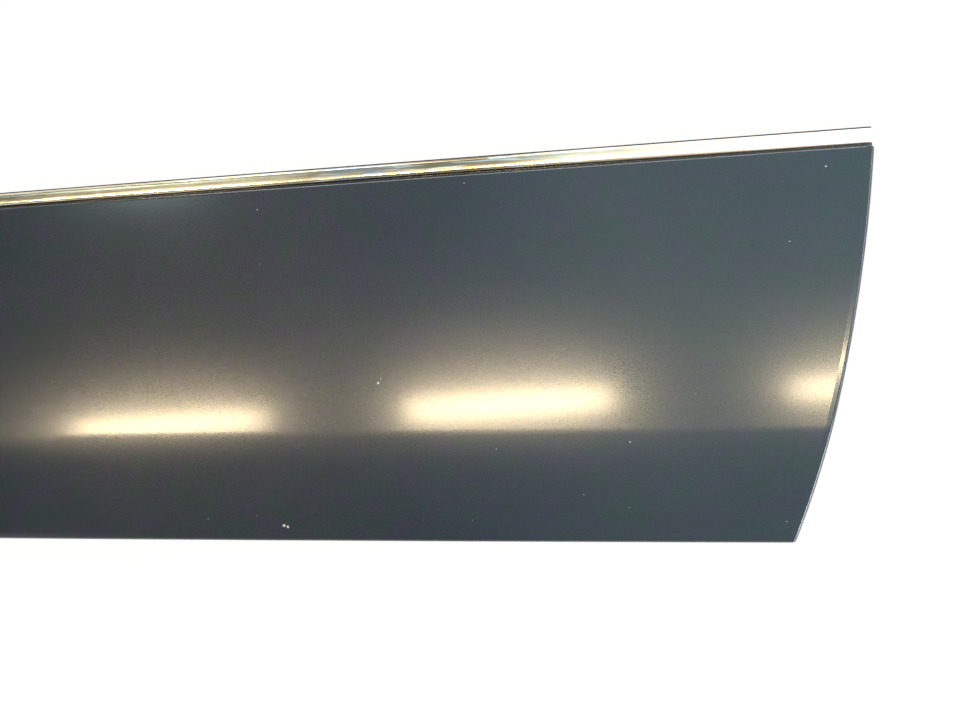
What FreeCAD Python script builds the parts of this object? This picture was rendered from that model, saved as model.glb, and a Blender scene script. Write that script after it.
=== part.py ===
import FreeCAD, Part
import math
import os

# A car door's lower side moulding, lying face up.
# +X runs along the door to the shaped end, +Y up the door to the bright strip,
# +Z out of the door. The origin is under the middle of the outline, on the
# level that the rims of the two ends stand on. All lengths are in millimetres.

vector = FreeCAD.Vector

# The outline seen square to the face.
length = 1040.0
face_height = 214.0
end_arc_radius = 978.6
end_arc_centre_above_face = 83.3
bottom_corner_radius = 3.0
top_corner_radius = 2.3
plain_end_corner_radius = 3.0

# The door's bow along its length, the stretch at each end where the rims run
# level instead, and the face's own section.
bow_radius = 27000.0
bow_spans = 8
level_end = 44.0
crease_depth = 24.0
crease_drop_at_plain_end = 140.2
crease_drop_at_shaped_end = 149.1
crease_radius = 70.0
lower_field_slope = 1.5
lower_field_crown_radius = 420.0
upper_field_slope = 2.0
upper_field_crown_radius = 1800.0
edge_roll = 2.2
wall = 2.8
draft = 1.0

# The ledge along the upper edge, and the undercut rail on it.
ledge_height = 9.5
ledge_wall = 2.4
ledge_lip = 1.1
shadow_gap = 0.6
ledge_set_back = 0.8
ledge_corner_radius = 1.2
rail_end_inset = 9.0
rail_head_flat = 4.0

# The roll-formed bright strip that snaps over the rail.
strip_width = 7.9
strip_height = 3.3
strip_crown_radius = 14.0
strip_shoulder_radius = 2.0
strip_heel_radius = 0.8
strip_wall = 0.55
strip_lip = 0.9
strip_end_inset = 0.8
strip_clearance = 0.1

# The clip seats on the back, in two rows, and the keyhole in each.
seat_count = 4
seat_pitch = 260.0
seat_row_low = -76.0
seat_row_high = 72.0
seat_plate = 2.0
seat_depth = 5.4
seat_length = 30.0
seat_width = 20.0
seat_wall = 1.6
seat_hole = 9.0
keyhole_slot = 6.2

# The stiffening ribs on the back, one between each two seats and one near each end.
rib_thickness = 1.4
rib_height = 7.0
rib_rim_gap = 3.0
end_rib_spacing = 62.0

# Places worked out from the sizes above.
strip_zone = shadow_gap + strip_width + ledge_lip
overall_height = face_height + strip_zone
y_bottom = -overall_height / 2
y_top = overall_height / 2
y_face = y_top - strip_zone
x_plain = -length / 2
x_shaped = length / 2
x_ledge_end = x_shaped - ledge_set_back
y_strip = y_face + shadow_gap + strip_width / 2
strip_base = ledge_height + strip_clearance
crown_centre_height = strip_base + strip_height - strip_crown_radius
shoulder_reach = strip_crown_radius - strip_shoulder_radius
shoulder_side = strip_width / 2 - strip_shoulder_radius
shoulder_height = crown_centre_height + math.sqrt(shoulder_reach ** 2 - shoulder_side ** 2)
shoulder_turn = math.degrees(math.asin(shoulder_side / shoulder_reach))
bow_rise = bow_radius - math.sqrt(bow_radius ** 2 - (length / 2 - level_end) ** 2)
above_all = 2 * (crease_depth + bow_rise)
face_overhang = 4 * wall
arc_reach = end_arc_centre_above_face + face_height
end_arc_bulge = (
    math.sqrt(end_arc_radius ** 2 - end_arc_centre_above_face ** 2)
    - math.sqrt(end_arc_radius ** 2 - arc_reach ** 2))
outermost_seat = seat_pitch * (seat_count - 1) / 2
seat_places = [i * seat_pitch - outermost_seat for i in range(seat_count)]
rib_places = [x + seat_pitch / 2 for x in seat_places[:-1]]
rib_places = [-outermost_seat - end_rib_spacing] + rib_places + [outermost_seat + end_rib_spacing]


def rim_height(x):
    """How high the door's surface stands off the floor at one place along the door."""
    return bow_rise + math.sqrt(bow_radius ** 2 - x ** 2) - bow_radius


def point(y, z, x=0):
    """A point of the cross-section at one place along the door. Its z is counted from the rim."""
    return vector(x, y, rim_height(x) + z)


def line(start, end, x=0):
    return Part.LineSegment(point(*start, x), point(*end, x)).toShape()


def arc(centre, radius, start_angle, end_angle, x=0):
    """An arc in the cross-section. Angles are in degrees, from +Z towards +Y."""
    points = []
    for angle in (start_angle, (start_angle + end_angle) / 2, end_angle):
        turn = math.radians(angle)
        y = centre[0] + radius * math.sin(turn)
        z = centre[1] + radius * math.cos(turn)
        points.append(point(y, z, x))
    return Part.Arc(*points).toShape()


def polygon(corners):
    return Part.Wire([line(a, b) for a, b in zip(corners, corners[1:] + corners[:1])])


def box(x_low, x_high, y_low, y_high, z_low, z_high):
    size = (x_high - x_low, y_high - y_low, z_high - z_low)
    return Part.makeBox(*size, vector(x_low, y_low, z_low))


def along_the_door(section, x_low, x_high):
    """The cross-section carried along the door's bow and cut square at both ends.

    The bow is carried in equal spans, so that thin walls keep their thickness in a mesh too.
    """
    axis_point = point(0, -bow_radius)
    beyond = 2 * above_all
    start = math.degrees(math.asin((x_low - beyond) / bow_radius))
    end = math.degrees(math.asin((x_high + beyond) / bow_radius))
    turn = (end - start) / bow_spans
    spans = []
    for i in range(bow_spans):
        profile = Part.Face(section)
        profile.rotate(axis_point, vector(0, 1, 0), start + i * turn)
        spans.append(profile.revolve(axis_point, vector(0, 1, 0), turn))
    swept = spans[0].multiFuse(spans[1:])
    return swept.common(box(x_low, x_high, -overall_height, overall_height, -above_all, 2 * above_all))


def above_the_rim():
    """All that lies outside the door's own surface, and off the floor.

    The rims follow that surface, and run level at both ends, so that the moulding lies steady.
    """
    section = polygon([
        (-overall_height, 0), (overall_height, 0),
        (overall_height, above_all), (-overall_height, above_all),
    ])
    off_floor = box(-length, length, -overall_height, overall_height, 0, 2 * above_all)
    return along_the_door(section, -length, length).common(off_floor)


def face_section(depth, x):
    """Rounded lower field, soft crease and crowned upper field, set in by a depth."""
    low = math.radians(lower_field_slope)
    up = math.radians(upper_field_slope)
    share = (x - x_plain) / length
    drop = crease_drop_at_plain_end + share * (crease_drop_at_shaped_end - crease_drop_at_plain_end)
    centre = (y_face - drop, crease_depth - crease_radius)
    y_start = y_bottom - face_overhang
    y_end = y_face + face_overhang
    reach = lower_field_crown_radius - crease_radius
    lower_centre = (centre[0] + reach * math.sin(low), centre[1] - reach * math.cos(low))
    lower = lower_field_crown_radius - depth
    start_turn = math.degrees(math.asin((y_start - lower_centre[0]) / lower))
    low_start = (y_start, lower_centre[1] + lower * math.cos(math.radians(start_turn)))
    reach = upper_field_crown_radius - crease_radius
    crown_centre = (centre[0] - reach * math.sin(up), centre[1] - reach * math.cos(up))
    crown = upper_field_crown_radius - depth
    end_turn = math.degrees(math.asin((y_end - crown_centre[0]) / crown))
    high_end = (y_end, crown_centre[1] + crown * math.cos(math.radians(end_turn)))
    return Part.Wire([
        line((y_start, -above_all), low_start, x),
        arc(lower_centre, lower, start_turn, -lower_field_slope, x),
        arc(centre, crease_radius - depth, -lower_field_slope, upper_field_slope, x),
        arc(crown_centre, crown, upper_field_slope, end_turn, x),
        line(high_end, (y_end, -above_all), x),
        line((y_end, -above_all), (y_start, -above_all), x),
    ])


def under_the_face(depth):
    """All that lies under the face, lofted through its two ends and its middle."""
    stations = [x_plain - face_overhang, 0, x_shaped + face_overhang]
    return Part.makeLoft([face_section(depth, x) for x in stations], True, False)


def face_outline(inset, z):
    """The face from the front: three straight sides, and the shaped end's long arc."""
    centre_y = y_face + end_arc_centre_above_face
    radius = end_arc_radius - inset
    centre_x = x_shaped - math.sqrt(end_arc_radius ** 2 - end_arc_centre_above_face ** 2)

    def on_arc(y):
        return vector(centre_x + math.sqrt(radius ** 2 - (y - centre_y) ** 2), y, z)

    low_plain = vector(x_plain + inset, y_bottom + inset, z)
    high_plain = vector(x_plain + inset, y_face - inset, z)
    low_shaped = on_arc(y_bottom + inset)
    high_shaped = on_arc(y_face - inset)
    bend = on_arc((y_bottom + y_face) / 2)
    return Part.Wire([
        Part.LineSegment(low_plain, low_shaped).toShape(),
        Part.Arc(low_shaped, bend, high_shaped).toShape(),
        Part.LineSegment(high_shaped, high_plain).toShape(),
        Part.LineSegment(high_plain, low_plain).toShape(),
    ])


def rectangle(x_low, x_high, y_low, y_high, z):
    corners = [(x_low, y_low), (x_high, y_low), (x_high, y_high), (x_low, y_high), (x_low, y_low)]
    return Part.makePolygon([vector(x, y, z) for x, y in corners])


def drafted_block(outline, z_low=None):
    """A block that narrows upwards by the draft. The outline is true on the floor."""
    z_low = -bow_rise if z_low is None else z_low
    slope = math.tan(math.radians(draft))
    wires = [outline(z * slope, z) for z in (z_low, above_all)]
    return Part.makeLoft(wires, True, True)


def round_corners(block, radii):
    """Rounds the upright edge nearest to each corner."""
    for (x, y), radius in radii:
        upright = [edge for edge in block.Edges if edge.BoundBox.ZLength > block.BoundBox.ZLength / 2]
        corner = vector(x, y, block.BoundBox.Center.z)
        nearest = min(upright, key=lambda edge: edge.BoundBox.Center.distanceToPoint(corner))
        block = block.makeFillet(radius, [nearest])
    return block


def is_upright(face):
    """Whether a face of a block is one of its sides, which lean by the draft only."""
    u_low, u_high, v_low, v_high = face.ParameterRange
    return abs(face.normalAt((u_low + u_high) / 2, (v_low + v_high) / 2).z) < 0.5


def face_block():
    """The face's outer form, with its whole edge rolled over."""
    plan = round_corners(drafted_block(face_outline), [
        ((x_plain, y_bottom), plain_end_corner_radius),
        ((x_plain, y_face), plain_end_corner_radius),
        ((x_shaped - end_arc_bulge, y_bottom), bottom_corner_radius),
        ((x_shaped, y_face), top_corner_radius),
    ])
    block = under_the_face(0).common(plan).Solids[0]
    rolled = []
    for edge in block.Edges:
        upright = [side for side in block.ancestorsOfType(edge, Part.Face) if is_upright(side)]
        if len(upright) == 1 and edge.CenterOfMass.z > 0:
            rolled.append(edge)
    return block.makeFillet(edge_roll, rolled)


def face_hollow():
    """The space inside the face block, one wall in from its top and its sides."""
    def outline(inset, z):
        return face_outline(wall + inset, z)

    return under_the_face(wall).common(drafted_block(outline, -above_all))


def ledge_block():
    """The low ledge above the face, which carries the rail."""
    section = polygon([
        (y_face - wall, -bow_rise), (y_top + wall, -bow_rise),
        (y_top + wall, ledge_height), (y_face - wall, ledge_height),
    ])

    def outline(inset, z):
        return rectangle(x_plain + inset, x_ledge_end - inset, y_face - 2 * wall, y_top - inset, z)

    plan = round_corners(drafted_block(outline), [
        ((x_plain, y_top), plain_end_corner_radius),
        ((x_ledge_end, y_top), ledge_corner_radius),
    ])
    return along_the_door(section, -length, length).common(plan)


def ledge_hollow():
    """The space under the ledge, open to the space under the face."""
    under = ledge_height - ledge_wall
    inside_the_face = y_face - wall - wall / 2
    section = polygon([
        (y_face - 2 * wall, -above_all), (y_top, -above_all),
        (y_top, under), (y_face - 2 * wall, under),
    ])

    def outline(inset, z):
        return rectangle(
            x_plain + wall + inset, x_ledge_end - wall - inset,
            inside_the_face, y_top - ledge_wall - inset, z)

    return along_the_door(section, -length, length).common(drafted_block(outline, -above_all))


def rail():
    """An undercut rail: a narrow neck under a wider head with sloped shoulders."""
    head = strip_width / 2 - strip_wall - strip_clearance
    neck = strip_width / 2 - strip_wall - strip_lip - strip_clearance
    underside = strip_base + strip_wall + strip_clearance
    crown_inside = strip_crown_radius - strip_wall
    flat = rail_head_flat / 2
    head_top = crown_centre_height + math.sqrt(crown_inside ** 2 - flat ** 2) - strip_clearance
    root = ledge_height - ledge_wall / 2
    corners = [
        (neck, root), (neck, underside), (head, underside),
        (head, shoulder_height - strip_clearance), (flat, head_top),
    ]
    mirrored = [(-y, z) for y, z in reversed(corners)]
    section = polygon([(y_strip + y, z) for y, z in corners + mirrored])
    return along_the_door(section, x_plain + rail_end_inset, x_ledge_end - rail_end_inset)


def bright_strip():
    """A strip rolled from one thin band: crowned top, rounded shoulders, inturned lips."""
    half = strip_width / 2
    tip = half - strip_wall - strip_lip
    heel = half - strip_heel_radius
    heel_height = strip_base + strip_heel_radius
    lip_top = strip_base + strip_wall

    def skin(gap, lip):
        """One side of the band, from its left lip over the crown to its right lip."""
        left = y_strip - half + gap
        right = y_strip + half - gap
        return [
            line((y_strip - tip, lip), (y_strip - heel, lip)),
            arc((y_strip - heel, heel_height), strip_heel_radius - gap, -180, -90),
            line((left, heel_height), (left, shoulder_height)),
            arc((y_strip - shoulder_side, shoulder_height), strip_shoulder_radius - gap, -90, -shoulder_turn),
            arc((y_strip, crown_centre_height), strip_crown_radius - gap, -shoulder_turn, shoulder_turn),
            arc((y_strip + shoulder_side, shoulder_height), strip_shoulder_radius - gap, shoulder_turn, 90),
            line((right, shoulder_height), (right, heel_height)),
            arc((y_strip + heel, heel_height), strip_heel_radius - gap, 90, 180),
            line((y_strip + heel, lip), (y_strip + tip, lip)),
        ]

    lips = [line((y_strip + y, strip_base), (y_strip + y, lip_top)) for y in (-tip, tip)]
    edges = skin(0, strip_base) + skin(strip_wall, lip_top) + lips
    section = Part.Wire(Part.__sortEdges__(edges))
    return along_the_door(section, x_plain + strip_end_inset, x_ledge_end - strip_end_inset)


def clip_seat(x, y, face_core):
    """A raised seat, open at one end, with a keyhole for the clip in its plate."""
    z_seat = rim_height(x) + seat_depth
    cut_low = z_seat - seat_plate / 2
    cut_depth = 2 * seat_plate
    half_length = seat_length / 2
    half_width = seat_width / 2

    def outline(growth, z):
        return rectangle(
            x - half_length - growth, x + half_length + growth,
            y - half_width - growth, y + half_width + growth, z)

    growth = (above_all - z_seat) * math.tan(math.radians(draft))
    block = Part.makeLoft([outline(0, z_seat), outline(growth, above_all)], True, True)
    space = box(
        x - half_length + seat_wall, x + 2 * half_length,
        y - half_width + seat_wall, y + half_width - seat_wall,
        z_seat + seat_plate, 2 * above_all)
    hole = Part.makeCylinder(seat_hole / 2, cut_depth, vector(x, y, cut_low))
    slot = box(
        x, x + 2 * half_length, y - keyhole_slot / 2, y + keyhole_slot / 2,
        cut_low, cut_low + cut_depth)
    return block.cut(space).cut(hole).cut(slot).common(face_core)


def cross_rib(x, face_core, hollow):
    """A thin rib across the back: low under the face, full depth at both flanges."""
    y_low = y_bottom + wall / 2
    y_high = y_face - wall / 2
    half = rib_thickness / 2
    base = rim_height(x) + rib_rim_gap
    rib = box(x - half, x + half, y_low, y_high, base, above_all).common(face_core)
    lowered = hollow.translated(vector(0, 0, -rib_height))
    middle = box(x - wall, x + wall, y_low + rib_height, y_high - rib_height, -above_all, above_all)
    return rib.cut(lowered.common(middle))


def moulding_panel():
    """The whole moulded shell, fused from the forms above and trimmed to the door."""
    hollow = face_hollow()
    face_core = under_the_face(wall / 2)
    shell = face_block().fuse(ledge_block()).cut(hollow).cut(ledge_hollow())
    additions = [rail()]
    for x in seat_places:
        for y in (seat_row_low, seat_row_high):
            additions.append(clip_seat(x, y, face_core))
    for x in rib_places:
        additions.append(cross_rib(x, face_core, hollow))
    whole = shell.common(above_the_rim()).multiFuse(additions)
    return whole.removeSplitter().Solids[0]


os.makedirs("parts", exist_ok=True)
moulding_panel().exportStep("parts/moulding_panel.step")
bright_strip().exportStep("parts/bright_strip.step")
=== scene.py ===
import math

import bmesh
import bpy
from mathutils import Matrix, Vector


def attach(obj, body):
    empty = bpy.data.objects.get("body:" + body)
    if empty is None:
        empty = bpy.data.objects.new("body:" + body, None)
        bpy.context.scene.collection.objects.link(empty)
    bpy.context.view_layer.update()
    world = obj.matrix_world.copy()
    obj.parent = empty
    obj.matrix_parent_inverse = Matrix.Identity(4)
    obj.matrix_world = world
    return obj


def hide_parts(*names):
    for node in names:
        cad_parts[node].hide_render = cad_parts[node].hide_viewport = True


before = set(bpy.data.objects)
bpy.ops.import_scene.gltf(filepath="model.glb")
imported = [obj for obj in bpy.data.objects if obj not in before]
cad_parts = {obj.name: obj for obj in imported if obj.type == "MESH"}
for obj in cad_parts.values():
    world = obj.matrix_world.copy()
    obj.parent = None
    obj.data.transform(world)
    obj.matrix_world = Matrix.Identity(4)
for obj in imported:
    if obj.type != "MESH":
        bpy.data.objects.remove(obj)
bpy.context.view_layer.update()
scene = bpy.context.scene

# The viewpoint: just above the moulding, right of its middle, looking down on the face.
view_place = Vector((0.3815, 0.0371, 0.4558))
view_turn = (
    Matrix.Rotation(math.radians(2.79), 3, "Z")
    @ Matrix.Rotation(math.radians(5.31), 3, "X")
    @ Matrix.Rotation(math.radians(-9.85), 3, "Y")
)
camera = bpy.data.objects.new("camera", bpy.data.cameras.new("camera"))
camera.data.sensor_width = 36.0
camera.data.lens = 29.1
camera.data.clip_start = 0.01
camera.matrix_world = Matrix.Translation(view_place) @ view_turn.transposed().to_4x4()
scene.collection.objects.link(camera)
scene.camera = camera
scene.view_settings.view_transform = "Standard"


# The moulding panel: one injection-moulded shell of filled polypropylene, painted satin dark
# blue-grey on its outside only. A long crease divides its rounded lower field from its crowned
# upper field, and its whole edge is rolled over.

# The face's own section, in metres: the same form as the solid's.
bow_radius = 27.0
crease_bend = 0.07
lower_bend = 0.42
upper_bend = 1.8
lower_slope = math.radians(1.5)
upper_slope = math.radians(2.0)
face_top = 0.1022
face_bottom = -0.1118
crease_at_middle = face_top - (0.1402 + 0.1491) / 2
crease_fall = (0.1402 - 0.1491) / 1.04
bow_rise = 0.0041962
crease_height = 0.024
# The paint has filled the crease from above, so the line where the gloss turns lies lower: by
# 0.4 mm at the arched end, 2.2 mm at the middle and 4 mm at the plain end.
lowered_crease = 0.0022
lowered_crease_fall = 0.0035
end_arc_radius = 0.9786
end_arc_centre = (-0.45505, 0.1855)
# The last stretch along the arched end and the lower edge turns down a little.
turn_down_width = 0.0046
turn_down_slope = 0.09
# How near the face a point counts as on it, how near two points are joined, and how far an edge
# bends before it stays sharp.
face_tolerance = 0.00006
weld_distance = 0.00001
sharp_angle = math.radians(38)


def add(tree, kind, inputs=None, stops=(), **settings):
    """Adds one node with its settings, its inputs and a ramp's stops, and links what is a node."""
    made = tree.nodes.new(kind)
    for name, value in settings.items():
        setattr(made, name, value)
    for socket, value in (inputs or {}).items():
        if isinstance(value, bpy.types.Node):
            value = value.outputs[0]
        if isinstance(value, bpy.types.NodeSocket):
            tree.links.new(value, made.inputs[socket])
        else:
            made.inputs[socket].default_value = value
    for number, (position, tone) in enumerate(stops):
        elements = made.color_ramp.elements
        stop = elements[number] if number < 2 else elements.new(position)
        stop.position, stop.color = position, tone
    return made


def section(tree, x, y, lowered, lowered_fall):
    """The face's height, without its bow, and the sine of its lean across the door.

    Lower field, crease and upper field each bend about a centre of their own, from one limit to
    the other, and the height and the lean add up over the three.
    """
    math_kind = "ShaderNodeMath"
    crease_y = add(tree, math_kind, {
        0: x, 1: crease_fall + lowered_fall, 2: crease_at_middle - lowered}, operation="MULTIPLY_ADD")
    across = add(tree, math_kind, {0: y, 1: crease_y}, operation="SUBTRACT")
    low = -crease_bend * math.sin(lower_slope)
    high = crease_bend * math.sin(upper_slope)
    sine = 0.0
    height = bow_rise + crease_height - crease_bend
    for bend, tangent, near, far, joint in (
            (lower_bend, -lower_slope, -1.0, low, low),
            (crease_bend, 0.0, low, high, None),
            (upper_bend, upper_slope, high, 1.0, high)):
        reach = (bend - crease_bend) * math.sin(tangent)
        above = add(tree, math_kind, {0: across, 1: near}, operation="MAXIMUM")
        within = add(tree, math_kind, {0: above, 1: far}, operation="MINIMUM")
        arm = add(tree, math_kind, {0: within, 1: reach}, operation="ADD")
        square = add(tree, math_kind, {0: arm, 1: arm}, operation="MULTIPLY")
        rest = add(tree, math_kind, {0: bend ** 2, 1: square}, operation="SUBTRACT")
        rise = add(tree, math_kind, {0: rest}, operation="SQRT")
        at_joint = 0.0 if joint is None else math.sqrt(bend ** 2 - (joint + reach) ** 2)
        gain = add(tree, math_kind, {0: rise, 1: at_joint}, operation="SUBTRACT")
        height = add(tree, math_kind, {0: height, 1: gain}, operation="ADD")
        turned = add(tree, math_kind, {0: arm, 1: 1 / bend, 2: -math.sin(tangent)}, operation="MULTIPLY_ADD")
        sine = add(tree, math_kind, {0: sine, 1: turned}, operation="ADD")
    return height, sine


def true_face_normals():
    """A modifier that gives the face the shading normals of its true surface.

    Long flat facets lose them, and then the lamps' glow breaks up into bands.
    """
    tree = bpy.data.node_groups.new("true face normals", "GeometryNodeTree")
    tree.interface.new_socket("Geometry", in_out="INPUT", socket_type="NodeSocketGeometry")
    tree.interface.new_socket("Geometry", in_out="OUTPUT", socket_type="NodeSocketGeometry")
    whole = add(tree, "NodeGroupInput")
    math_kind = "ShaderNodeMath"
    x, y, z = add(tree, "ShaderNodeSeparateXYZ", {0: add(tree, "GeometryNodeInputPosition")}).outputs
    height, _ = section(tree, x, y, 0.0, 0.0)
    _, sine = section(tree, x, y, lowered_crease, lowered_crease_fall)
    square = add(tree, math_kind, {0: sine, 1: sine}, operation="MULTIPLY")
    rest = add(tree, math_kind, {0: 1.0, 1: square}, operation="SUBTRACT")
    cosine = add(tree, math_kind, {0: rest}, operation="SQRT")
    lean_y = add(tree, math_kind, {0: sine, 1: cosine}, operation="DIVIDE")
    bow_lean = add(tree, math_kind, {0: x, 1: 1 / bow_radius}, operation="MULTIPLY")
    lean_x = add(tree, math_kind, {0: lean_y, 1: -crease_fall, 2: bow_lean}, operation="MULTIPLY_ADD")
    normal = add(tree, "ShaderNodeCombineXYZ", {0: lean_x, 1: lean_y, 2: 1.0})

    # How far a point lies off that surface tells the face from the flanges and the back.
    square = add(tree, math_kind, {0: x, 1: x}, operation="MULTIPLY")
    surface = add(tree, math_kind, {0: square, 1: -0.5 / bow_radius, 2: height}, operation="MULTIPLY_ADD")
    off_face = add(tree, math_kind, {0: z, 1: surface}, operation="SUBTRACT")
    off_face = add(tree, math_kind, {0: off_face}, operation="ABSOLUTE")
    on_face = add(tree, math_kind, {0: off_face, 1: face_tolerance}, operation="LESS_THAN")

    merged = add(tree, "GeometryNodeMergeByDistance", {"Geometry": whole, "Distance": weld_distance})
    edge_angle = add(tree, "GeometryNodeInputMeshEdgeAngle").outputs["Unsigned Angle"]
    sharp = add(tree, math_kind, {0: edge_angle, 1: sharp_angle}, operation="GREATER_THAN")
    smooth = add(tree, "GeometryNodeSetMeshNormal", {
        "Mesh": merged, "Remove Custom": True, "Edge Sharpness": sharp,
        "Face Sharpness": False}, mode="SHARPNESS")
    chosen = add(tree, "GeometryNodeSwitch", {
        "Switch": on_face, "False": add(tree, "GeometryNodeInputNormal"), "True": normal},
        input_type="VECTOR")
    shaded = add(tree, "GeometryNodeSetMeshNormal", {
        "Mesh": smooth, "Custom Normal": chosen}, mode="FREE", domain="CORNER")
    add(tree, "NodeGroupOutput", {0: shaded})
    return tree


def colour(code):
    """An sRGB hex colour as linear RGBA."""
    parts = [int(code[i:i + 2], 16) / 255 for i in (1, 3, 5)]
    linear = [c / 12.92 if c <= 0.04045 else ((c + 0.055) / 1.055) ** 2.4 for c in parts]
    return (*linear, 1.0)


def new_material(name):
    made = bpy.data.materials.new(name)
    made.use_nodes = True
    made.node_tree.nodes.clear()
    return made, made.node_tree


def dress(piece, finish):
    piece.data.materials.clear()
    piece.data.materials.append(finish)


# Stone chips and stuck grit on the face: place in millimetres, radius in millimetres.
chips = (
    (180.4, -101.0, 1.0), (182.6, -101.9, 0.9), (246.3, -14.9, 0.6), (247.9, -12.6, 0.3),
    (475.5, 53.8, 0.4), (494.8, 92.1, 0.45), (176.1, 89.3, 0.3), (176.9, 57.4, 0.25),
    (300.9, 96.6, 0.25), (131.3, -96.8, 0.3), (163.8, -94.8, 0.25), (471.8, -98.6, 0.25),
    (388.7, -51.8, 0.4), (362.2, -82.2, 0.25), (387.0, -90.1, 0.25), (313.6, -54.6, 0.25),
)
pits = ((319.3, -43.7, 0.5), (294.0, -30.0, 0.5))


def spots_mask(tree, flat_place, spots):
    """One inside any of the round spots, fading to nought over each spot's rim."""
    nearest = 9.0
    for x, y, radius in spots:
        away = add(tree, "ShaderNodeVectorMath", {
            0: flat_place, 1: (x / 1000, y / 1000, 0.0)}, operation="DISTANCE").outputs["Value"]
        away = add(tree, "ShaderNodeMath", {0: away, 1: 1000 / radius}, operation="MULTIPLY")
        nearest = add(tree, "ShaderNodeMath", {0: nearest, 1: away}, operation="MINIMUM")
    return add(tree, "ShaderNodeMapRange", {
        "Value": nearest, "From Min": 0.6, "From Max": 1.1, "To Min": 1.0, "To Max": 0.0})


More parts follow.
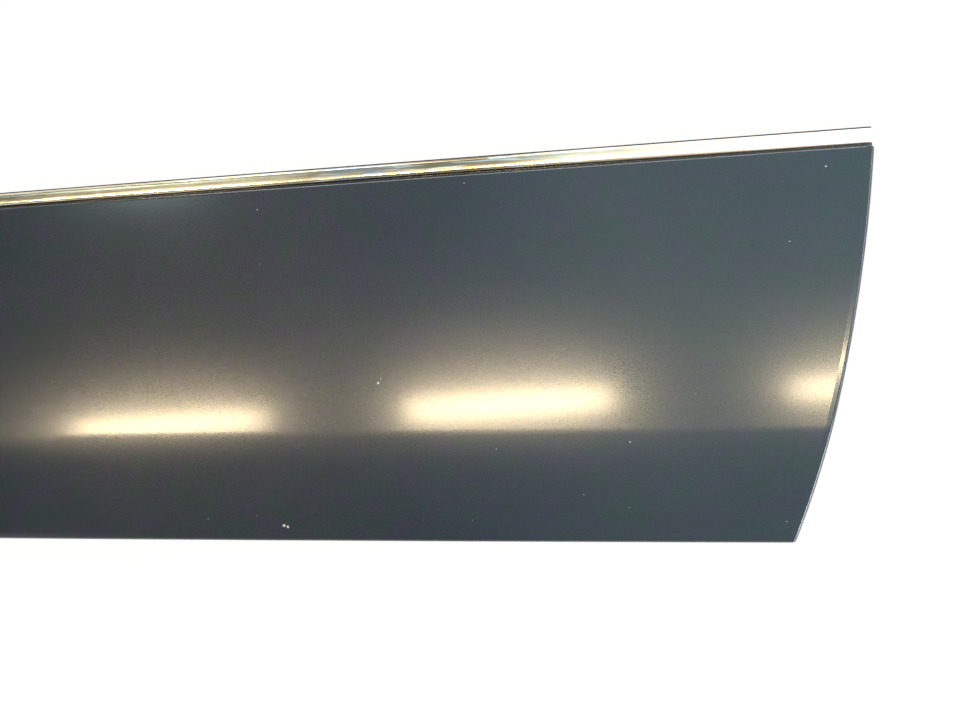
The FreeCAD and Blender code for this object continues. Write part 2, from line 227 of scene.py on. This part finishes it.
def painted_moulding():
    """Satin two-pack paint sprayed on the outside of moulded polypropylene.

    The paint is dark blue-grey with the faint orange peel of a sprayed coat: a broad soft gloss
    from its matting agent, and a tighter gleam from its smooth top. The back stays bare black
    plastic, dull, with some overspray along its rims.
    """
    finish, tree = new_material("satin two-pack paint on polypropylene")
    spot = add(tree, "ShaderNodeTexCoord").outputs["Object"]
    _, y, z = add(tree, "ShaderNodeSeparateXYZ", {0: spot}).outputs
    # Outside and back lean opposite ways, by the mould's draft: the outside's normals all have
    # some rise.
    least_rise = 0.008
    facing = add(tree, "ShaderNodeSeparateXYZ", {
        0: add(tree, "ShaderNodeNewGeometry").outputs["True Normal"]}).outputs["Z"]
    painted = add(tree, "ShaderNodeMath", {0: facing, 1: least_rise}, operation="GREATER_THAN")

    # Colour: the coat's cloudy shade, some 60 mm across, blotches of 14 mm that lean to green or
    # to violet, and pigment grains of 0.8 mm.
    cloud = add(tree, "ShaderNodeTexNoise", {"Vector": spot, "Scale": 1 / 0.06, "Detail": 3.0})
    pigment = add(tree, "ShaderNodeTexNoise", {"Vector": spot, "Scale": 1 / 0.0008, "Detail": 2.0})
    coat = add(tree, "ShaderNodeValToRGB", {"Fac": cloud}, stops=(
        (0.3, colour("#1E242B")), (0.7, colour("#232930"))))
    blotch = add(tree, "ShaderNodeTexNoise", {"Vector": spot, "Scale": 1 / 0.014, "Detail": 4.0})
    blotch = add(tree, "ShaderNodeValToRGB", {"Fac": blotch}, stops=(
        (0.4, colour("#A8C8B6")), (0.6, colour("#C6B2D2")), (0.5, colour("#BABCC0"))))
    coat = add(tree, "ShaderNodeMix", {
        "Factor": 0.8, 6: coat, 7: blotch}, data_type="RGBA", blend_type="OVERLAY").outputs[2]
    grain = add(tree, "ShaderNodeValToRGB", {"Fac": pigment}, stops=(
        (0.3, colour("#A2A2A2")), (0.7, colour("#D2D2D2"))))
    coat = add(tree, "ShaderNodeMix", {
        "Factor": 0.6, 6: coat, 7: grain}, data_type="RGBA", blend_type="OVERLAY").outputs[2]
    mist = add(tree, "ShaderNodeMapRange", {
        "Value": z, "From Min": 0.0, "From Max": 0.012, "To Min": 0.5, "To Max": 0.0})
    mist = add(tree, "ShaderNodeMath", {0: mist, 1: cloud}, operation="MULTIPLY")
    bare = add(tree, "ShaderNodeMix", {
        "Factor": mist, 6: colour("#1B1C1E"), 7: colour("#2A323C")}, data_type="RGBA").outputs[2]

    # Chips down to the pale primer, with ragged rims, and two dark pits.
    ragged = add(tree, "ShaderNodeTexNoise", {"Vector": spot, "Scale": 1 / 0.0012, "Detail": 2.0})
    shift = add(tree, "ShaderNodeVectorMath", {
        0: ragged.outputs["Color"], 1: (0.5, 0.5, 0.5)}, operation="SUBTRACT")
    moved = add(tree, "ShaderNodeVectorMath", {
        0: shift, 1: (0.0014, 0.0014, 0.0), 2: spot}, operation="MULTIPLY_ADD")
    flat_place = add(tree, "ShaderNodeVectorMath", {0: moved, 1: (1.0, 1.0, 0.0)}, operation="MULTIPLY")
    chipped = spots_mask(tree, flat_place, chips)
    pitted = spots_mask(tree, flat_place, pits)
    # Dust: pale specks up to 0.6 mm across, where the point of an 18 mm cell lies at the surface,
    # in half of the cells.
    speck_reach = 0.016
    cells = add(tree, "ShaderNodeTexVoronoi", {"Vector": spot, "Scale": 1 / 0.018})
    speck = add(tree, "ShaderNodeMath", {0: cells.outputs["Distance"], 1: speck_reach}, operation="LESS_THAN")
    lot = add(tree, "ShaderNodeSeparateXYZ", {0: cells.outputs["Color"]}).outputs[0]
    some = add(tree, "ShaderNodeMath", {0: lot, 1: 0.5}, operation="GREATER_THAN")
    dust = add(tree, "ShaderNodeMath", {0: speck, 1: some}, operation="MULTIPLY")
    pale = add(tree, "ShaderNodeMath", {0: dust, 1: 0.3, 2: chipped}, operation="MULTIPLY_ADD")
    coat = add(tree, "ShaderNodeMix", {
        "Factor": pale, 6: coat, 7: colour("#B9BAB6")}, data_type="RGBA").outputs[2]
    coat = add(tree, "ShaderNodeMix", {
        "Factor": pitted, 6: coat, 7: colour("#15171A")}, data_type="RGBA").outputs[2]
    shade = add(tree, "ShaderNodeMix", {"Factor": painted, 6: bare, 7: coat}, data_type="RGBA").outputs[2]

    # Gloss: wiping has left hazy patches, drawn out along the door.
    wiped = add(tree, "ShaderNodeMapping", {"Vector": spot, "Scale": (8.0, 30.0, 30.0)})
    haze = add(tree, "ShaderNodeTexNoise", {"Vector": wiped, "Scale": 1.0, "Detail": 4.0})
    gloss = add(tree, "ShaderNodeMapRange", {"Value": haze, "To Min": 0.21, "To Max": 0.27})
    marks = add(tree, "ShaderNodeMath", {0: chipped, 1: pitted}, operation="MAXIMUM")
    gloss = add(tree, "ShaderNodeMath", {0: marks, 1: 0.3, 2: gloss}, operation="MULTIPLY_ADD")
    rough = add(tree, "ShaderNodeMix", {"Factor": painted, 2: 0.55, 3: gloss})
    clear = add(tree, "ShaderNodeMath", {0: painted, 1: 0.5}, operation="MULTIPLY")

    # Relief, in metres: orange peel of 1.1 mm, and the shallow turn-down along the arched end and
    # the lower edge.
    peel_height = 0.0000008
    peel = add(tree, "ShaderNodeTexNoise", {"Vector": spot, "Scale": 1 / 0.0011, "Detail": 1.5})
    relief = add(tree, "ShaderNodeMath", {0: peel, 1: peel_height}, operation="MULTIPLY")
    flat = add(tree, "ShaderNodeVectorMath", {0: spot, 1: (1.0, 1.0, 0.0)}, operation="MULTIPLY")
    from_centre = add(tree, "ShaderNodeVectorMath", {
        0: flat, 1: (*end_arc_centre, 0.0)}, operation="DISTANCE").outputs["Value"]
    to_end = add(tree, "ShaderNodeMath", {0: end_arc_radius, 1: from_centre}, operation="SUBTRACT")
    to_bottom = add(tree, "ShaderNodeMath", {0: y, 1: face_bottom}, operation="SUBTRACT")
    to_edge = add(tree, "ShaderNodeMath", {0: to_end, 1: to_bottom}, operation="MINIMUM")
    past = add(tree, "ShaderNodeMath", {0: turn_down_width, 1: to_edge}, operation="SUBTRACT")
    past = add(tree, "ShaderNodeMath", {0: past, 1: 0.0}, operation="MAXIMUM")
    relief = add(tree, "ShaderNodeMath", {0: past, 1: -turn_down_slope, 2: relief}, operation="MULTIPLY_ADD")
    bump = add(tree, "ShaderNodeBump", {"Strength": 1.0, "Distance": 1.0, "Height": relief})
    paint = add(tree, "ShaderNodeBsdfPrincipled", {
        "Base Color": shade, "Roughness": rough, "IOR": 1.5, "Coat Weight": clear,
        "Coat Roughness": 0.12, "Coat IOR": 1.5, "Normal": bump, "Coat Normal": bump})
    add(tree, "ShaderNodeOutputMaterial", {"Surface": paint})
    return finish


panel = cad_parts["moulding_panel"]
panel.modifiers.new("true face normals", "NODES").node_group = true_face_normals()
dress(panel, painted_moulding())


# The bright strip: one band of bright stainless steel, 0.55 mm thick, rolled to a crowned
# section with inturned lips, and snapped over the rail along the panel's upper edge.

strip_width = 0.0079
strip_height = 0.0033
crown_bend = 0.014
shoulder_bend = 0.002
heel_bend = 0.0008
strip_wall = 0.00055
lip_reach = 0.0009
strip_foot = 0.0096
strip_middle = 0.10675
strip_ends = (-0.5192, 0.5184)
sharp_bend = math.radians(40)


def rolled_band():
    """The band's outer skin, bent arc by arc, swept along the bow and given its wall."""
    base = bow_rise + strip_foot
    heel = strip_width / 2 - heel_bend
    heel_z = base + heel_bend
    tip = strip_width / 2 - strip_wall - lip_reach
    crown_z = base + strip_height - crown_bend
    side = strip_width / 2 - shoulder_bend
    reach = crown_bend - shoulder_bend
    shoulder_z = crown_z + math.sqrt(reach ** 2 - side ** 2)
    crown_turn = math.asin(side / reach)
    quarter = math.pi / 2
    lip = (0, tip - heel, 0)
    rise = (0, 0, shoulder_z - heel_z)
    fall = (0, 0, heel_z - shoulder_z)
    bm = bmesh.new()
    last = bm.verts.new((0, strip_middle - tip, base))
    # Each stretch: a straight run, then a bend about a centre, by an angle, in some steps.
    for run, centre, turn, steps in (
            (lip, (-heel, heel_z), quarter, 5),
            (rise, (-side, shoulder_z), quarter - crown_turn, 8),
            (None, (0, crown_z), 2 * crown_turn, 12),
            (None, (side, shoulder_z), quarter - crown_turn, 8),
            (fall, (heel, heel_z), quarter, 5),
            (lip, None, 0, 0)):
        if run:
            last = bmesh.ops.extrude_vert_indiv(bm, verts=[last])["verts"][0]
            bmesh.ops.translate(bm, verts=[last], vec=run)
        if centre:
            bent = bmesh.ops.spin(
                bm, geom=[last], cent=(0, strip_middle + centre[0], centre[1]), axis=(1, 0, 0),
                angle=-turn, steps=steps)
            last = [v for v in bent["geom_last"] if isinstance(v, bmesh.types.BMVert)][0]
    axis_point = (0, 0, bow_rise - bow_radius)
    low, high = [math.asin(x / bow_radius) for x in strip_ends]
    bmesh.ops.rotate(bm, verts=bm.verts, cent=axis_point, matrix=Matrix.Rotation(low, 3, "Y"))
    bmesh.ops.spin(
        bm, geom=bm.verts[:] + bm.edges[:], cent=axis_point, axis=(0, 1, 0), angle=high - low, steps=60)
    bmesh.ops.remove_doubles(bm, verts=bm.verts, dist=1e-6)
    bmesh.ops.recalc_face_normals(bm, faces=bm.faces)
    if max(bm.faces, key=lambda face: face.calc_center_median().z).normal.z < 0:
        bmesh.ops.reverse_faces(bm, faces=bm.faces)
    bmesh.ops.solidify(bm, geom=bm.faces[:], thickness=strip_wall)
    for face in bm.faces:
        face.smooth = True
    for edge in bm.edges:
        edge.smooth = edge.calc_face_angle(0) < sharp_bend
    mesh = bpy.data.meshes.new("bright_strip_band")
    bm.to_mesh(mesh)
    bm.free()
    band = bpy.data.objects.new("bright_strip_band", mesh)
    scene.collection.objects.link(band)
    return band


def bright_steel():
    """Bright-annealed stainless steel, roll-formed and years on the road.

    It mirrors its surroundings a little blurred and a little yellowed, with fine scratches along
    its length and patches of old polish. Its tint along the length is partly painted reflection.
    """
    finish, tree = new_material("bright-annealed stainless steel")
    spot = add(tree, "ShaderNodeTexCoord").outputs["Object"]
    # Polish haze, 60 mm long and 3 mm wide, and scratches 150 mm long and 0.5 mm apart.
    drawn = add(tree, "ShaderNodeMapping", {"Vector": spot, "Scale": (16.0, 320.0, 320.0)})
    haze = add(tree, "ShaderNodeTexNoise", {"Vector": drawn, "Scale": 1.0, "Detail": 3.0})
    along = add(tree, "ShaderNodeMapping", {"Vector": spot, "Scale": (7.0, 2000.0, 2000.0)})
    scratch = add(tree, "ShaderNodeTexNoise", {"Vector": along, "Scale": 1.0, "Detail": 1.0})
    # From the strip's middle the film of old polish, partly painted reflection, thins towards the
    # arched end, where the metal is bleached and matt; a brown patch some 60 mm long, a painted dark
    # reflection, lies a little past half way there.
    place = add(tree, "ShaderNodeMapRange", {
        "Value": add(tree, "ShaderNodeSeparateXYZ", {0: spot}), "From Max": 0.52})
    # The ramp's colours are partly the steel's own warm tint and partly painted reflection.
    polish_tint_and_painted_reflection = add(tree, "ShaderNodeValToRGB", {"Fac": place}, stops=(
        (0.05, colour("#FCF2DA")), (1.0, colour("#FFEBE0")), (0.34, colour("#FFF4D6")),
        (0.45, colour("#DDD5C3")), (0.54, colour("#A69374")), (0.62, colour("#B3A082")),
        (0.71, colour("#FAE4CB")), (0.88, colour("#FFE6D6"))))
    streak = add(tree, "ShaderNodeValToRGB", {"Fac": haze}, stops=(
        (0.4, colour("#CBC8C0")), (0.56, colour("#FFFFFF"))))
    worn = add(tree, "ShaderNodeMapRange", {
        "Value": place, "From Min": 0.62, "From Max": 0.9, "To Min": 1.0, "To Max": 0.1})
    tone = add(tree, "ShaderNodeMix", {
        "Factor": worn, 6: polish_tint_and_painted_reflection, 7: streak}, data_type="RGBA", blend_type="MULTIPLY").outputs[2]
    # Short pale rubs, 25 mm long, and a bluish scuff of slanting lines that is 45 mm long.
    scuff_place = 0.45
    rubbed = add(tree, "ShaderNodeMapping", {"Vector": spot, "Scale": (40.0, 900.0, 900.0)})
    rub = add(tree, "ShaderNodeTexNoise", {"Vector": rubbed, "Scale": 1.0, "Detail": 1.0})
    rub = add(tree, "ShaderNodeMapRange", {"Value": rub, "From Min": 0.6, "From Max": 0.68})
    rub = add(tree, "ShaderNodeMath", {0: rub, 1: 0.7}, operation="MULTIPLY")
    tone = add(tree, "ShaderNodeMix", {
        "Factor": rub, 6: tone, 7: colour("#FFFFF4")}, data_type="RGBA").outputs[2]
    slanted = add(tree, "ShaderNodeMapping", {
        "Vector": spot, "Rotation": (0.0, 0.0, math.radians(8)), "Scale": (60.0, 700.0, 0.0)})
    scuff = add(tree, "ShaderNodeTexNoise", {"Vector": slanted, "Scale": 1.0, "Detail": 2.0})
    scuff = add(tree, "ShaderNodeMapRange", {"Value": scuff, "From Min": 0.45, "From Max": 0.6})
    off_scuff = add(tree, "ShaderNodeMath", {0: place, 1: scuff_place}, operation="SUBTRACT")
    off_scuff = add(tree, "ShaderNodeMath", {0: off_scuff}, operation="ABSOLUTE")
    within = add(tree, "ShaderNodeMapRange", {
        "Value": off_scuff, "From Min": 0.03, "From Max": 0.05, "To Min": 1.0, "To Max": 0.0})
    scuff = add(tree, "ShaderNodeMath", {0: scuff, 1: within}, operation="MULTIPLY")
    tone = add(tree, "ShaderNodeMix", {
        "Factor": scuff, 6: tone, 7: colour("#A6B4C2")}, data_type="RGBA").outputs[2]
    rough = add(tree, "ShaderNodeMapRange", {"Value": haze, "To Min": 0.26, "To Max": 0.12})
    dulled = add(tree, "ShaderNodeMath", {0: worn, 1: -0.3, 2: 0.3}, operation="MULTIPLY_ADD")
    rough = add(tree, "ShaderNodeMath", {0: rough, 1: dulled}, operation="ADD")
    bump = add(tree, "ShaderNodeBump", {"Strength": 0.12, "Distance": 0.000006, "Height": scratch})
    steel = add(tree, "ShaderNodeBsdfPrincipled", {
        "Base Color": tone, "Metallic": 1.0, "Roughness": rough, "Normal": bump})
    add(tree, "ShaderNodeOutputMaterial", {"Surface": steel})
    return finish


band = rolled_band()
dress(band, bright_steel())
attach(band, "root")
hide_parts("bright_strip")


# The floor: a plain pale sheet that the moulding lies on. It renders white and keeps a soft
# shadow. Its edge lies outside the photograph's view, but shows faintly from low angles.

floor_reach = 4.0
floor_drop = 0.0001
floor_whiteness = 0.85
bm = bmesh.new()
bmesh.ops.create_grid(bm, x_segments=1, y_segments=1, size=floor_reach)
bmesh.ops.translate(bm, verts=bm.verts, vec=(0, 0, -floor_drop))
mesh = bpy.data.meshes.new("floor")
bm.to_mesh(mesh)
bm.free()
floor = bpy.data.objects.new("floor", mesh)
scene.collection.objects.link(floor)
finish, tree = new_material("matt white board")
path = add(tree, "ShaderNodeLightPath")
seen = add(tree, "ShaderNodeMath", {
    0: path.outputs["Is Camera Ray"], 1: floor_whiteness}, operation="MULTIPLY")
matt = add(tree, "ShaderNodeBsdfDiffuse", {"Color": colour("#F1F4FA")})
glow = add(tree, "ShaderNodeEmission", {"Color": (1, 1, 1, 1), "Strength": 1.0})
both = add(tree, "ShaderNodeMixShader", {0: seen, 1: matt, 2: glow})
add(tree, "ShaderNodeOutputMaterial", {"Surface": both})
dress(floor, finish)


# The light: a row of three long warm ceiling lamps above the crease, three cool soft boxes, low
# behind the strip and past the arched end, and a white room whose ceiling is dull at the left.

world = bpy.data.worlds.new("room")
scene.world = world
world.use_nodes = True
tree = world.node_tree
tree.nodes.clear()
generated = add(tree, "ShaderNodeTexCoord").outputs["Generated"]
direction = add(tree, "ShaderNodeSeparateXYZ", {0: generated})
path = add(tree, "ShaderNodeLightPath")
# Along the door, from the dim left of the ceiling to the window's cool light at the right.
along = add(tree, "ShaderNodeMapRange", {"Value": direction.outputs[0], "From Min": -0.8, "From Max": 0.4})
along = add(tree, "ShaderNodeValToRGB", {"Fac": along}, stops=(
    (0.0, colour("#434A4E")), (1.0, colour("#BCE8F0")), (0.133, colour("#525A5E")),
    (0.183, colour("#938F84")), (0.25, colour("#989388")), (0.358, colour("#9C9C98")),
    (0.483, colour("#93A3B0")), (0.575, colour("#A2BCCB")), (0.667, colour("#C5DEE4"))))
# Across the door, from the dimmer side that the lower field mirrors to the far side.
across = add(tree, "ShaderNodeMapRange", {"Value": direction.outputs[1], "From Min": -0.6, "From Max": 0.1})
across = add(tree, "ShaderNodeValToRGB", {"Fac": across}, stops=(
    (0.0, colour("#CACACA")), (1.0, colour("#FFFFFF")), (0.4, colour("#E1E1E1"))))
ceiling = add(tree, "ShaderNodeMix", {
    "Factor": 1.0, 6: along, 7: across}, data_type="RGBA", blend_type="MULTIPLY").outputs[2]
ceiling_strength = (1.6, 1.6, 1.6, 1.0)
ceiling = add(tree, "ShaderNodeMix", {
    "Factor": 1.0, 6: ceiling, 7: ceiling_strength}, data_type="RGBA", blend_type="MULTIPLY").outputs[2]
# A narrow greenish window high at the left, long along the door, that gleams just under the strip.
window_direction = (-0.528, 0.333, 0.783)
window_narrowing = (1.0, 2.5, 1.0)
window_glow = (5.2, 7.0, 6.5, 1.0)
off_window = add(tree, "ShaderNodeVectorMath", {
    0: generated, 1: window_direction}, operation="SUBTRACT")
off_window = add(tree, "ShaderNodeVectorMath", {
    0: off_window, 1: window_narrowing}, operation="MULTIPLY")
off_window = add(tree, "ShaderNodeVectorMath", {0: off_window}, operation="LENGTH").outputs["Value"]
window = add(tree, "ShaderNodeMapRange", {
    "Value": off_window, "From Min": 0.02, "From Max": 0.1, "To Min": 1.0, "To Max": 0.0})
ceiling = add(tree, "ShaderNodeMix", {
    "Factor": window, 6: ceiling, 7: window_glow}, data_type="RGBA", blend_type="ADD").outputs[2]
overhead = add(tree, "ShaderNodeMapRange", {
    "Value": direction.outputs[2], "From Min": 0.42, "From Max": 0.52})
room = add(tree, "ShaderNodeMix", {
    "Factor": overhead, 6: (1, 1, 1, 1), 7: ceiling}, data_type="RGBA").outputs[2]
mirrored = add(tree, "ShaderNodeMath", {
    0: path.outputs["Is Glossy Ray"], 1: path.outputs["Is Transmission Ray"]}, operation="MAXIMUM")
shown = add(tree, "ShaderNodeMix", {
    "Factor": mirrored, 6: (0.30, 0.37, 0.46, 1), 7: room}, data_type="RGBA").outputs[2]
shown = add(tree, "ShaderNodeMix", {
    "Factor": path.outputs["Is Camera Ray"], 6: shown, 7: (1, 1, 1, 1)}, data_type="RGBA").outputs[2]
air = add(tree, "ShaderNodeBackground", {"Color": shown, "Strength": 1.0})
add(tree, "ShaderNodeOutputWorld", {"Surface": air})

# Each lamp: its place, its length and width, its power and its colour. The ceiling row hangs
# level, at a slight angle to the door, and the soft boxes face the panel.
row_turn = 0.055
row_height = 2.0
box_target = Vector((0.1, 0.0, 0.0))
for name, place, size, power, code in (
        ("ceiling lamp left", (-1.095, -0.222, row_height), (0.73, 0.09), 15.4, "#FFE7BC"),
        ("ceiling lamp middle", (0.095, -0.160, row_height), (0.67, 0.11), 15.8, "#FFE7BC"),
        ("ceiling lamp right", (1.30, -0.112, row_height), (0.66, 0.085), 13.0, "#FFE7BC"),
        ("soft box behind", (0.1, 2.2, 0.95), (2.6, 0.7), 30.0, "#F4F8FF"),
        ("soft box at the end", (2.1, -1.3, 0.8), (1.5, 0.5), 34.0, "#F4F8FF"),
        ("soft box past the end", (2.5, 0.1, 0.9), (1.4, 0.5), 12.0, "#F4F8FF")):
    lamp = bpy.data.lights.new(name, "AREA")
    lamp.shape = "RECTANGLE"
    lamp.size, lamp.size_y = size
    lamp.energy = power
    lamp.color = colour(code)[:3]
    hung = bpy.data.objects.new(name, lamp)
    hung.location = place
    hung.rotation_euler.z = row_turn
    if place[2] < row_height:
        aim = box_target - hung.location
        hung.rotation_euler = aim.to_track_quat("-Z", "Y").to_euler()
    scene.collection.objects.link(hung)
